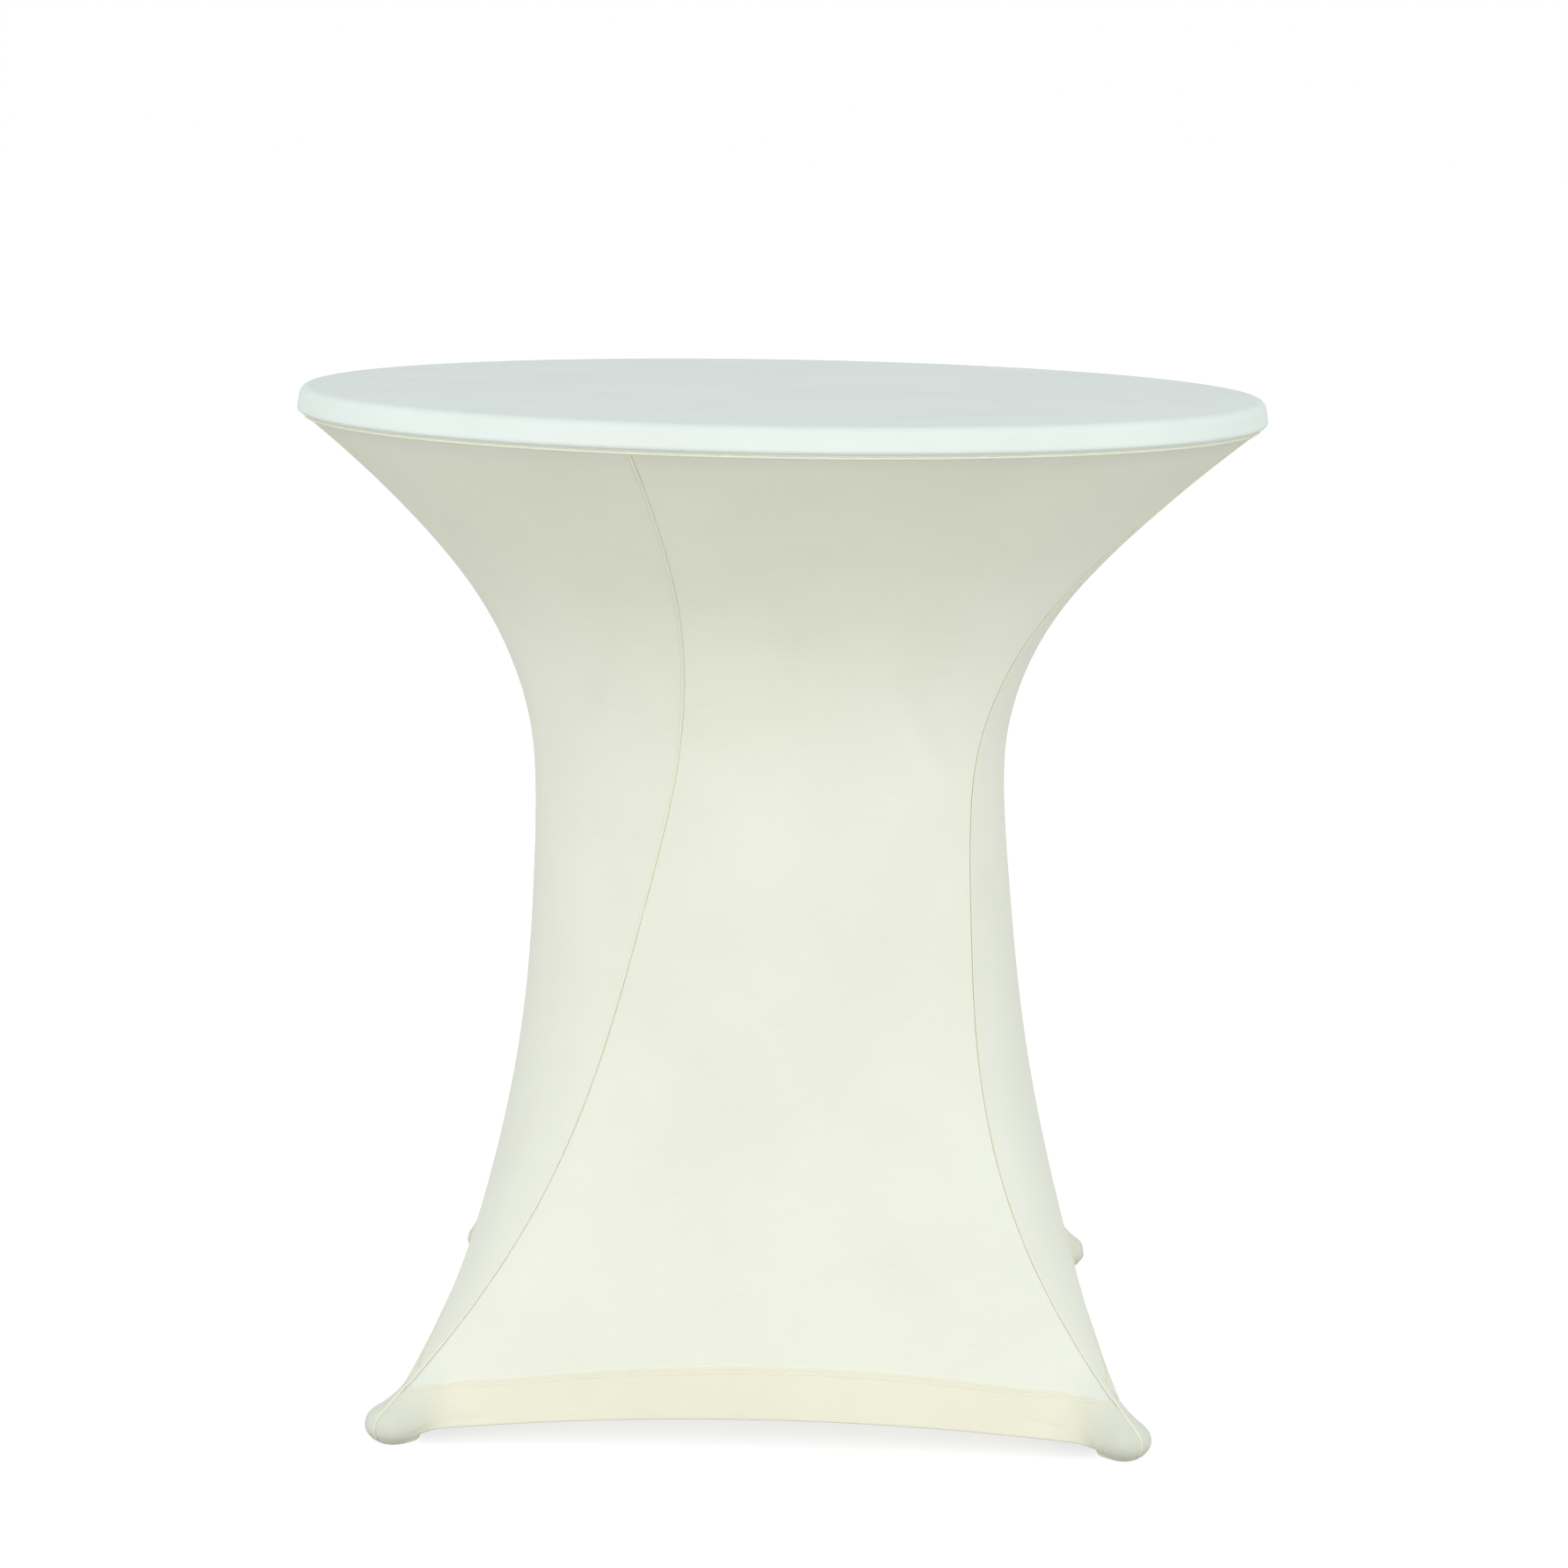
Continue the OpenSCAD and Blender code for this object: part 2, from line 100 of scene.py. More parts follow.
# and in the hem band, with the second number measured up from the hem's edge
HEM_CREASES = ((0, 0, (0.045, 0.012), (0.130, 0.008)), (0, 1, (0.125, 0.020), (0.085, 0.008)))


def smooth(x):
    x = np.clip(x, 0, 1)
    return x * x * (3 - 2 * x)


def bump(x, width):
    return np.exp(-((x / width) ** 2))


def unit(a):
    return a / np.maximum(np.linalg.norm(a, axis=-1, keepdims=True), 1e-12)


def wander(x, y, seed):
    """Smooth unevenness between about -1 and 1, the same on every run."""
    total = 0
    for i in range(5):
        a = 2.399 * (i + 1) + 1.7 * seed
        f = 0.7 + 0.45 * i
        total = total + np.sin(f * (x * math.cos(a) + y * math.sin(a)) + 5.1 * a) / (1 + 0.35 * i)
    return total / 2.6


def side_places(n):
    """Places of the columns across a panel, closer together near its two seams."""
    x = np.arange(n + 1) / n
    return x - 0.60 * np.sin(2 * np.pi * x) / (2 * np.pi)


def row_places(m):
    """Places of the rows down the skirt, closer together near the floor."""
    x = np.arange(m + 1) / m
    return 1.6 * x - 0.6 * x * x


def tuck(z):
    return TOE_TUCK * np.clip(1 - z / TOE_TUCK_H, 0, 1) ** 2


def foot_outline(gone, out=0.0):
    """The sleeve's edge round a foot's sole, gone metres from the middle of its tip: (outwards, sideways)."""
    under = tuck(SOLE_Z)
    flat, r = TOE_WIDE - TOE_ROUND, TOE_ROUND - under
    turned = np.clip((gone - flat) / r, 0, math.pi / 2)
    sideways = np.minimum(gone, flat) + r * np.sin(turned)
    outwards = TOE_END + out - under - r * (1 - np.cos(turned)) - np.maximum(gone - flat - r * math.pi / 2, 0)
    return outwards, sideways


def hem_line(k, s, out=0.0):
    """Lower edge of panel k: a bowed line from foot to foot, which goes round each foot's sole. The feet are
    taken to be longer by out."""
    ta, tb = TOES[k], TOES[(k + 1) % 4]
    ea, eb = unit(ta), unit(tb)
    a, b = ta + ea * (FOOT_OUT + out), tb + eb * (FOOT_OUT + out)
    span = np.hypot(*(b - a))
    along = (b - a) / span
    inwards = np.array([-along[1], along[0]])
    bow = 4 * s * (1 - s)
    line = a + (b - a) * s[:, None] + inwards * (HEM_BOW_IN * bow)[:, None]
    z = HEM_LOW + HEM_BOW_UP * bow
    for t, e, gone, hand in ((ta, ea, s * span, 1), (tb, eb, (1 - s) * span, -1)):
        shut = 1 - smooth((gone - FOOT_CLOSED) / FOOT_OPENS)
        sideways = np.array([-e[1], e[0]]) * hand
        ahead, across = foot_outline(gone, out)
        round_foot = t + np.outer(ahead, e) + np.outer(across, sideways)
        line = line + (round_foot - line) * shut[:, None]
        z = z * (1 - shut) + SOLE_Z * shut
    return np.column_stack([line, z])


def out_of_foot(points, toe):
    """Moves points out of the rounded end of one base arm, which the sleeve is pulled over."""
    e = unit(toe)
    n = np.array([-e[1], e[0]])
    rel = points[..., :2] - toe
    q = np.stack([rel @ e, rel @ n], -1) - np.array([TOE_END - TOE_LONG / 2, 0])
    past = np.abs(q) - (np.array([TOE_LONG / 2, TOE_WIDE]) - TOE_ROUND)
    out = np.maximum(past, 0)
    size = np.hypot(out[..., 0], out[..., 1])
    off = size + np.minimum(past.max(-1), 0) - TOE_ROUND  # level distance to the foot's outline
    z = points[..., 2]
    hit = (off < 0) & (z < TOE_HIGH)
    if not hit.any():
        return points
    q, past, out, size, off, z = (x[hit] for x in (q, past, out, size, off, z))
    away = np.sign(q) * out / np.maximum(size, 1e-9)[:, None]
    deep = size < 1e-9
    nearest, rows, flat = np.argmax(past, -1), np.arange(len(q)), np.zeros_like(away)
    flat[rows, nearest] = np.sign(q[rows, nearest])
    away[deep] = flat[deep]
    in_round, above = off + TOE_CROWN, z - (TOE_HIGH - TOE_CROWN_H)
    radius = np.hypot(np.maximum(in_round, 0) / TOE_CROWN, above / TOE_CROWN_H)
    grow = np.maximum(1 - radius, 0) / np.maximum(radius, 1e-9)
    on_edge = in_round > 0
    level = np.where(above > 0, np.where(on_edge, in_round * grow, 0), np.maximum(-tuck(z) - off, 0))
    rise = np.where(above > 0, np.where(on_edge, above * grow, TOE_CROWN_H - above), 0)
    move = level[:, None] * away
    moved = points.copy()
    moved[hit] += np.column_stack([move[:, 0:1] * e + move[:, 1:2] * n, rise])
    moved[..., 2] = np.maximum(moved[..., 2], FLOOR_GAP)
    return moved


NET_LEVELS = ((16, 32, 150), (32, 64, 280), (64, 128, 220))  # columns in a panel, rows, sweeps over the net
HURRY_MOST = 1.93  # a sweep overshoots by at most this factor
WARY, WARY_SWEEPS = 1.2, 40  # and by this one while a finer net first meets the feet
CALM_SWEEPS = 25  # the last sweeps don't overshoot
FOOT_REACH = 0.42  # share of a panel, from its seam, that a foot may touch


def stretched_skirt():
    """The skirt as a net of strings under tension, hung on the rim seam, drawn to the hem's line and pushed
    out by the four feet. It is settled on a coarse net first and then on finer ones."""
    net = None
    for n_side, n_row, sweeps in NET_LEVELS:
        first = net is None  # this one hangs clear outside the feet, and the next is let in against them
        n = 4 * n_side
        s, v = side_places(n_side), row_places(n_row)
        ds, dv = np.tile(np.diff(s), 4), np.diff(v)
        angle, hem, pull = np.zeros(n), np.zeros((n, 3)), np.zeros(n)
        for k in range(4):
            a, b = SEAM_ANGLES[k], SEAM_ANGLES[(k + 1) % 4] + (360 if k == 3 else 0)
            here = slice(k * n_side, (k + 1) * n_side)
            angle[here] = a + (b - a) * s[:-1]
            hem[here] = hem_line(k, s[:-1], FOOT_LONGER if first else 0)
            pull[here] = SIDE_TIGHT[k]
        angle = np.radians(angle)
        ring = np.stack([RING_R * np.cos(angle), RING_R * np.sin(angle), np.full(n, RING_Z)], 1)
        if first:
            net = ring[None] + (hem - ring)[None] * v[:, None, None]
        else:
            finer = np.zeros((n_row + 1, n, 3))
            finer[::2, ::2] = net
            finer[::2, 1::2] = (net + np.roll(net, -1, axis=1)) / 2
            finer[1::2] = (finer[:-1:2] + finer[2::2]) / 2
            net = finer
        net[0], net[-1] = ring, hem
        share = (ds + np.roll(ds, 1)) / 2
        share[::n_side] += SEAM_PULL
        row_share = (dv[1:] + dv[:-1]) / 2
        tight = np.interp(v[1:-1], TIGHT_V, TIGHT) * (2 / math.pi) ** 2
        to_right = (tight * row_share)[:, None] * (pull / ds)[None]
        to_left = np.roll(to_right, 1, axis=1)
        up, down = share[None] / dv[:-1, None], share[None] / dv[1:, None]
        total = to_right + to_left + up + down
        to_right, to_left, up, down = ((q / total)[..., None] for q in (to_right, to_left, up, down))
        j, i = np.meshgrid(np.arange(n_row - 1), np.arange(n), indexing="ij")
        turns = [((j + i) % 2 == c)[..., None] for c in (0, 1)]
        hurry = min(2 / (1 + math.sin(math.pi / n_row)), HURRY_MOST)
        low, reach = n_row // 2, int(n_side * FOOT_REACH)
        near = [np.arange(k * n_side - reach, k * n_side + reach + 1) % n for k in range(4)]
        for sweep in range(sweeps):
            if sweep >= sweeps - CALM_SWEEPS:
                step = 1
            else:
                step = hurry if first or sweep >= WARY_SWEEPS else WARY
            for turn in turns:
                now = net[1:-1]
                goal = to_right * np.roll(now, -1, axis=1) + to_left * np.roll(now, 1, axis=1)
                goal += up * net[:-2] + down * net[2:]
                net[1:-1] = np.where(turn, now + step * (goal - now), now)
            for k in () if first else range(4):
                net[low:-1, near[k]] = out_of_foot(net[low:-1][:, near[k]], TOES[k])
    return net


# ---------------------------------------------------------------- grids and meshes


def lengths(line):
    """Distance along each column of a grid, from its first row."""
    steps = np.linalg.norm(np.diff(line, axis=0), axis=-1)
    return np.concatenate([np.zeros((1,) + steps.shape[1:]), np.cumsum(steps, axis=0)])


def places_along(grid, wanted):
    """The grid's columns, read again at the wanted distances (rows, columns) on smooth curves."""
    run = lengths(grid)
    slope = np.zeros_like(grid)
    slope[1:-1] = (grid[2:] - grid[:-2]) / (run[2:] - run[:-2])[..., None]
    slope[0] = (grid[1] - grid[0]) / (run[1] - run[0])[..., None]
    slope[-1] = (grid[-1] - grid[-2]) / (run[-1] - run[-2])[..., None]
    found = np.zeros(wanted.shape + (3,))
    for c in range(grid.shape[1]):
        w = np.clip(wanted[:, c], 0, run[-1, c])
        k = np.clip(np.searchsorted(run[:, c], w, side="right") - 1, 0, len(run) - 2)
        h = (run[k + 1, c] - run[k, c])[:, None]
        t = ((w - run[k, c])[:, None]) / h
        found[:, c] = (
            (2 * t**3 - 3 * t**2 + 1) * grid[k, c]
            + (t**3 - 2 * t**2 + t) * h * slope[k, c]
            + (3 * t**2 - 2 * t**3) * grid[k + 1, c]
            + (t**3 - t**2) * h * slope[k + 1, c]
        )
    return found


def outward(grid, wrap=False):
    """Unit normals of a grid whose rows run down and whose columns run to the right, seen from outside."""
    down = np.gradient(grid, axis=0)
    if wrap:
        right = np.roll(grid, -1, axis=1) - np.roll(grid, 1, axis=1)
    else:
        right = np.gradient(grid, axis=1)
    return unit(np.cross(down, right))


def quads(rows, columns, wrap_rows=False, wrap_columns=False):
    j, i = np.meshgrid(
        np.arange(rows if wrap_rows else rows - 1),
        np.arange(columns if wrap_columns else columns - 1),
        indexing="ij",
    )
    j2, i2 = (j + 1) % rows, (i + 1) % columns
    return np.stack([j * columns + i, j2 * columns + i, j2 * columns + i2, j * columns + i2], -1).reshape(-1, 4)


def make_piece(name, points, faces, material, uv=None, body="root"):
    mesh = bpy.data.meshes.new(name)
    mesh.from_pydata([tuple(p) for p in points], [], [[int(i) for i in f] for f in faces])
    mesh.validate()
    mesh.shade_smooth()
    if uv is not None:
        layer = mesh.uv_layers.new(name="cut")
        index = np.zeros(len(mesh.loops), np.int32)
        mesh.loops.foreach_get("vertex_index", index)
        layer.data.foreach_set("uv", np.asarray(uv, np.float32)[index].ravel())
    mesh.materials.append(material)
    piece = bpy.data.objects.new(name, mesh)
    bpy.context.scene.collection.objects.link(piece)
    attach(piece, body)
    return piece


def shell(grid, normals, thick, uv, wrap=False, round_top=True):
    """A closed cloth layer under the grid's surface, with rounded upper and lower edges."""
    arc = np.radians([35, 90, 145])

    def edge(row, sign):
        side = normals[row]
        along = unit(grid[row] - grid[row - sign])
        along = unit(along - side * (along * side).sum(-1, keepdims=True))
        mid = grid[row] - side * thick / 2
        return [mid + thick / 2 * (math.cos(a) * side + math.sin(a) * along) for a in arc]

    rows = [*grid, *edge(-1, 1), *(grid - normals * thick)[::-1]]
    flat = [*uv, *[uv[-1]] * 3, *uv[::-1]]
    count = len(grid)
    if round_top:
        rows += edge(0, -1)[::-1]
        flat += [uv[0]] * 3
    columns = grid.shape[1]
    faces = quads(len(rows), columns, wrap_rows=True, wrap_columns=wrap).tolist()
    if not wrap:
        last = 2 * count + 2
        for c, turn in ((0, 1), (columns - 1, -1)):
            at = [r * columns + c for r in range(len(rows))]
            for r in range(count - 1):
                faces.append([at[r], at[last - r], at[last - r - 1], at[r + 1]][::turn])
            faces.append([at[r] for r in range(count - 1, count + 4)][::-turn])
            if round_top:
                faces.append([at[r] for r in (*range(last, len(rows)), 0)][::-turn])
    return np.concatenate(rows), faces, np.concatenate(flat)


def closed_middle(faces, rows, count):
    """The faces of a round shell, with the wall at its first row's circle replaced by a disc on each layer."""
    inner = (2 * rows + 2) * count
    kept = [f for f in faces if not (min(f) < count and max(f) >= inner)]
    return kept + [list(range(count)), [inner + i for i in range(count)][::-1]]


def thread(path, side, wide, high, pitch, sides=8, closed=False, swell=None):
    """A twisted thread that lies on a surface: path and side are (n, 3), side points away from the surface."""
    if closed:
        along = unit(np.roll(path, -1, axis=0) - np.roll(path, 1, axis=0))
    else:
        along = unit(np.gradient(path, axis=0))
    across = unit(np.cross(along, side))
    up = np.cross(across, along)
    run = lengths(path)
    if swell is None:
        swell = np.ones(len(path))
    rings = []
    for a in np.arange(sides) * 2 * math.pi / sides:
        lay = 1 + 0.20 * np.cos(2 * a - 2 * math.pi * run / pitch)
        rings.append(
            path
            + across * (wide / 2 * math.cos(a) * lay * swell)[:, None]
            + up * (high / 2 * math.sin(a) * lay * swell)[:, None]
        )
    points = np.stack(rings, 1)
    faces = quads(len(path), sides, wrap_rows=closed, wrap_columns=True)[:, ::-1].tolist()
    if not closed:
        faces.append(list(range(sides)))
        faces.append([(len(path) - 1) * sides + i for i in range(sides)][::-1])
    return points.reshape(-1, 3), faces


def even_line(line, step):
    """An open line read again at even steps."""
    run = lengths(line)
    wanted = np.linspace(0, run[-1], max(int(run[-1] / step), 2) + 1)
    return places_along(line[:, None], wanted[:, None])[:, 0]


def stitches(path, side, pitch, length, radius):
    """One row of separate thread stitches along a path."""
    run = lengths(path)
    count = int(run[-1] / pitch)
    points, faces = [], []
    turn = np.arange(6) * math.pi / 3
    for i in range(count):
        middle_at = (i + 0.5) * pitch
        at = [middle_at - length / 2, middle_at + length / 2]
        a, b = (np.array([np.interp(x, run, path[:, c]) for c in range(3)]) for x in at)
        up = unit(np.array([np.interp(middle_at, run, side[:, c]) for c in range(3)]))
        across = unit(np.cross(b - a, up))
        for t, r, rise in ((0, 0.45, -0.6), (0.25, 1, 0.35), (0.75, 1, 0.35), (1, 0.45, -0.6)):
            centre = a + (b - a) * t + up * radius * rise
            points.append(
                centre + r * radius * (np.cos(turn)[:, None] * across + np.sin(turn)[:, None] * up)
            )
        first = i * 24
        faces += (quads(4, 6, wrap_columns=True)[:, ::-1] + first).tolist()
        faces.append([first + c for c in range(6)])
        faces.append([first + 18 + c for c in range(6)][::-1])
    return np.concatenate(points), faces


# ---------------------------------------------------------------- materials


class Nodes:
    """A material's node tree, with short calls for the nodes used here."""

    def __init__(self, name):
        self.material = bpy.data.materials.new(name)
        self.material.use_nodes = True
        self.tree = self.material.node_tree
        self.shader = next(n for n in self.tree.nodes if n.type == "BSDF_PRINCIPLED")

    def add(self, kind, settings=(), **links):
        node = self.tree.nodes.new("ShaderNode" + kind)
        for key, value in dict(settings).items():
            setattr(node, key, value)
        for key, value in links.items():
            socket = node.inputs[int(key[1:])] if key[0] == "_" and key[1:].isdigit() else node.inputs[key]
            if isinstance(value, bpy.types.NodeSocket):
                self.tree.links.new(value, socket)
            else:
                socket.default_value = value
        return node

    def math(self, operation, a, b=0.0):
        return self.add("Math", {"operation": operation}, _0=a, _1=b).outputs[0]

    def noise(self, vector, scale, detail=2.0, roughness=0.5):
        return self.add("TexNoise", Vector=vector, Scale=scale, Detail=detail, Roughness=roughness).outputs[0]

    def stretch(self, vector, scale):
        return self.add("Mapping", Vector=vector, Scale=scale).outputs[0]

    def spread(self, value, low, high):
        """A value between 0 and 1, laid out between low and high."""
        node = self.add("MapRange", Value=value)
        node.inputs["To Min"].default_value = low
        node.inputs["To Max"].default_value = high
        return node.outputs[0]

    def between(self, factor, low, high):
        """A colour ramp between two linear colours."""
        ramp = self.add("ValToRGB", Fac=factor)
        ramp.color_ramp.elements[0].color = (*low, 1)
        ramp.color_ramp.elements[1].color = (*high, 1)
        return ramp

    def relief(self, height, strength, distance, under=None):
        links = {"Height": height, "Strength": strength, "Distance": distance}
        if under is not None:
            links["Normal"] = under
        return self.add("Bump", (), **links).outputs[0]

    def set(self, **values):
        for key, value in values.items():
            socket = self.shader.inputs[key.replace("_", " ")]
            if isinstance(value, bpy.types.NodeSocket):
                self.tree.links.new(value, socket)
            else:
                socket.default_value = value
        return self.material


WALE, COURSE = 0.0016, 0.0021  # width and height of two stitches of the knit
FOOT_SHADE_FROM, FOOT_SHADE_RISE = 0.50, 18.0  # the painted shade over the feet starts this far from the middle and grows by this a metre
# painted shade: the cloth over the feet is multiplied by this colour, darker and cooler than white
FOOT_SHADE_TINT = (0.83, 0.875, 0.93)


def knit_material(name, dark, light, sheen, shade_over_feet=True):
    """Fine stretch jersey: courses and wales at real size, streaks along the courses, soft unevenness.
    Over the feet the cloth is painted darker and cooler: painted shade that tones down the light from below,
    together with the greyer colour of the thin, stretched sleeve there."""
    m = Nodes(name)
    place = m.add("TexCoord")
    cut, solid = place.outputs["UV"], place.outputs["Object"]
    split = m.add("SeparateXYZ", _0=cut)
    wale = m.math("SINE", m.math("MULTIPLY", split.outputs[0], 2 * math.pi / WALE))
    course = m.math("SINE", m.math("MULTIPLY", split.outputs[1], 2 * math.pi / COURSE))
    loops = m.math("MULTIPLY", wale, course)
    streak = m.noise(m.stretch(cut, (22.0, 520.0, 1.0)), 1.0, 3.0, 0.6)
    cloud = m.noise(solid, 7.0, 2.0, 0.5)
    tone = m.math("ADD", m.math("MULTIPLY", streak, 0.35), m.math("MULTIPLY", cloud, 0.65))
    ramp = m.between(tone, dark, light)
    ramp.color_ramp.elements[0].position = 0.30
    ramp.color_ramp.elements[1].position = 0.62
    fine = m.relief(loops, 0.30, 0.00012)
    lines = m.relief(streak, 0.20, 0.0003, fine)
    colour = ramp.outputs[0]
    # painted shade over the feet: the colour darkens and cools with distance from the middle
    if shade_over_feet:
        from_middle = m.add("VectorMath", {"operation": "LENGTH"}, _0=m.stretch(solid, (1.0, 1.0, 0.0)))
        foot_shade = m.math("MULTIPLY", m.math("SUBTRACT", from_middle.outputs["Value"], FOOT_SHADE_FROM), FOOT_SHADE_RISE)
        painted_foot_shade = m.between(foot_shade, (1.0, 1.0, 1.0), FOOT_SHADE_TINT).outputs[0]
        colour = m.add("VectorMath", {"operation": "MULTIPLY"}, _0=colour, _1=painted_foot_shade).outputs[0]
    return m.set(
        Base_Color=colour,
        Normal=lines,
        Roughness=0.82,
        Sheen_Weight=sheen,
        Sheen_Roughness=0.45,
        Specular_IOR_Level=0.25,
    )


def thread_material():
    m = Nodes("ivory_thread")
    solid = m.add("TexCoord").outputs["Object"]
    fuzz = m.noise(solid, 900.0, 2.0)
    ramp = m.between(fuzz, (0.83, 0.80, 0.64), (0.95, 0.93, 0.78))
    return m.set(
        Base_Color=ramp.outputs[0], Normal=m.relief(fuzz, 0.4, 0.0003), Roughness=0.6, Sheen_Weight=0.3
    )


def board_material():
    m = Nodes("particle_board")
    solid = m.add("TexCoord").outputs["Object"]
    chips = m.add("TexVoronoi", Vector=m.stretch(solid, (1.0, 1.0, 2.5)), Scale=210.0)
    flour = m.noise(solid, 600.0, 3.0)
    tone = m.math("ADD", m.math("MULTIPLY", chips.outputs[0], 0.6), m.math("MULTIPLY", flour, 0.5))
    ramp = m.between(tone, (0.30, 0.19, 0.10), (0.66, 0.49, 0.30))
    return m.set(
        Base_Color=ramp.outputs[0], Normal=m.relief(chips.outputs[0], 0.4, 0.0008), Roughness=0.75
    )


def plastic_material(name, dark, light, rough, grain):
    m = Nodes(name)
    solid = m.add("TexCoord").outputs["Object"]
    mottle = m.noise(solid, 35.0, 3.0)
    texture = m.noise(solid, grain, 2.0)
    ramp = m.between(mottle, dark, light)
    return m.set(Base_Color=ramp.outputs[0], Normal=m.relief(texture, 0.25, 0.0003), Roughness=rough)


def powder_coat_material(name, dark, light):
    m = Nodes(name)
    solid = m.add("TexCoord").outputs["Object"]
    peel = m.noise(solid, 420.0, 2.0)
    dust = m.noise(solid, 9.0, 4.0)
    ramp = m.between(dust, dark, light)
    return m.set(
        Base_Color=ramp.outputs[0],
        Normal=m.relief(peel, 0.35, 0.0002),
        Roughness=m.spread(dust, 0.42, 0.60),
        Specular_IOR_Level=0.5,
    )


def zinc_material():
    m = Nodes("zinc_plate")
    solid = m.add("TexCoord").outputs["Object"]
    turned = m.noise(m.stretch(solid, (40.0, 40.0, 1400.0)), 1.0, 2.0)
    stain = m.noise(solid, 60.0, 3.0)
    ramp = m.between(stain, (0.52, 0.53, 0.52), (0.76, 0.77, 0.79))
    return m.set(
        Base_Color=ramp.outputs[0],
        Metallic=1.0,
        Roughness=m.spread(stain, 0.22, 0.42),
        Normal=m.relief(turned, 0.3, 0.0001),
    )


TOP_KNIT = knit_material("knit_top", (0.80, 0.865, 0.835), (0.84, 0.905, 0.875), 0.15, shade_over_feet=False)
SKIRT_KNIT = knit_material("knit_skirt", (0.825, 0.835, 0.735), (0.865, 0.878, 0.78), 0.2)
HEM_KNIT = knit_material("knit_hem", (0.825, 0.80, 0.66), (0.87, 0.85, 0.70), 0.2)
THREAD = thread_material()

CAD_FINISH = {
    "board": board_material(),
    "moulding": plastic_material("edge_plastic", (0.018, 0.014, 0.012), (0.035, 0.027, 0.022), 0.38, 500.0),
    "frame_paint": powder_coat_material("frame_powder_coat", (0.010, 0.010, 0.011), (0.022, 0.022, 0.024)),
    "column_paint": powder_coat_material("column_powder_coat", (0.013, 0.013, 0.015), (0.027, 0.027, 0.030)),
    "zinc": zinc_material(),
    "cap_plastic": plastic_material("cap_plastic", (0.008, 0.008, 0.008), (0.020, 0.020, 0.020), 0.55, 700.0),
    "pad_rubber": plastic_material("pad_rubber", (0.014, 0.014, 0.014), (0.030, 0.029, 0.028), 0.85, 900.0),
}
NODE_FINISH = (
    ("table_board", "board"),
    ("edge_moulding", "moulding"),
    ("column_tube", "column_paint"),
    ("top_plate_screws", "zinc"),
    ("top_plate", "frame_paint"),
    ("tie_rod", "zinc"),
    ("base_", "frame_paint"),
    ("arm_end_caps", "cap_plastic"),
    ("arm_bolt", "zinc"),
    ("glide_pad", "pad_rubber"),
    ("glide_", "zinc"),
)
for node_name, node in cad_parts.items():
    for start, finish in NODE_FINISH:
        if node_name.startswith(start):
            if not node.material_slots:
                node.data.materials.append(None)
            for place in node.material_slots:
                place.material = CAD_FINISH[finish]
            break

# ---------------------------------------------------------------- top panel and rim seam

THREAD_WIDE = 0.0026  # width of the thread along a seam


MIDDLE_R = 0.012  # the top panel's grid starts this far from its middle, and a disc closes it
ROUND_COLUMNS = 360


def top_profile():
    """(radius, height) pairs from the middle, over the soft upper edge, down the leaning side of the rim and
    in under it to the rim seam."""
    side_r = RIM_R - RIM_LEAN
    flat_r = side_r - RIM_TOP_ROUND
    points = [(r, TOP_Z) for r in np.linspace(MIDDLE_R, flat_r - 0.012, 34)]
    points += [(flat_r - 0.006, TOP_Z)]
    for a in np.radians(np.linspace(90, 0, 12)):
        points.append((flat_r + RIM_TOP_ROUND * math.cos(a), TOP_Z - RIM_TOP_ROUND * (1 - math.sin(a))))
    high, low = TOP_Z - RIM_TOP_ROUND, RIM_LOW + RIM_LOW_ROUND
    points += [(side_r + RIM_LEAN * t, high + (low - high) * t) for t in (0.25, 0.5, 0.75)]
    for a in np.radians(np.linspace(0, -90, 8)):
        points.append((RIM_R - RIM_LOW_ROUND * (1 - math.cos(a)), low + RIM_LOW_ROUND * math.sin(a)))
    last = points[-1]
    points += [
        (last[0] + (RING_R - last[0]) * t, last[1] + (RING_Z + 0.0008 - last[1]) * t**1.6)
        for t in (0.25, 0.5, 0.75, 1)
    ]
    return np.array(points)


def make_top():
    profile = top_profile()
    count = ROUND_COLUMNS
    a = np.arange(count) * 2 * math.pi / count
    grid = np.zeros((len(profile), count, 3))
    grid[..., 0] = profile[:, :1] * np.cos(a)
    grid[..., 1] = profile[:, :1] * np.sin(a)
    grid[..., 2] = profile[:, 1:]
    run = lengths(grid)
    normals = outward(grid, wrap=True)
    # faint unevenness on the drum of the top, and small gathers where the edge is drawn into the seam
    inside = smooth((RIM_R - 0.01 - profile[:, :1]) / 0.1)
    crown = -0.00035 * inside * (1 + wander(grid[..., 0] * 9, grid[..., 1] * 9, 1))
    to_seam = run[-1] - run
    gather = 0.00045 * bump(to_seam, 0.012) * wander(a[None] * 260, to_seam * 60, 2)
    grid = grid + normals * (crown + gather)[..., None]
    normals = outward(grid, wrap=True)
    from_middle = run + MIDDLE_R
    cut = np.stack([from_middle * np.cos(a), from_middle * np.sin(a)], -1)
    points, faces, uv = shell(grid, normals, KNIT, cut, wrap=True, round_top=False)
    faces = closed_middle(faces, len(profile), count)
    piece = make_piece("knit_top_panel", points, faces, TOP_KNIT, uv)
    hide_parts("cover_top_panel")
    return piece


def make_rim_seam():
    count, twists = 2600, 900
    a = np.arange(count) * 2 * math.pi / count
    out = np.stack([np.cos(a), np.sin(a), np.zeros(count)], 1)
    side = unit(out * 0.9 + np.array([0, 0, -0.3]))
    path = out * (RING_R + 0.0006) + np.array([0, 0, RING_Z])
    points, faces = thread(path, side, THREAD_WIDE, 0.0016, 2 * math.pi * RING_R / twists, sides=7, closed=True)
    piece = make_piece("rim_seam_thread", points, faces, THREAD)
    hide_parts("cover_rim_seam")
    return piece


# ---------------------------------------------------------------- skirt, hem, seams and soles


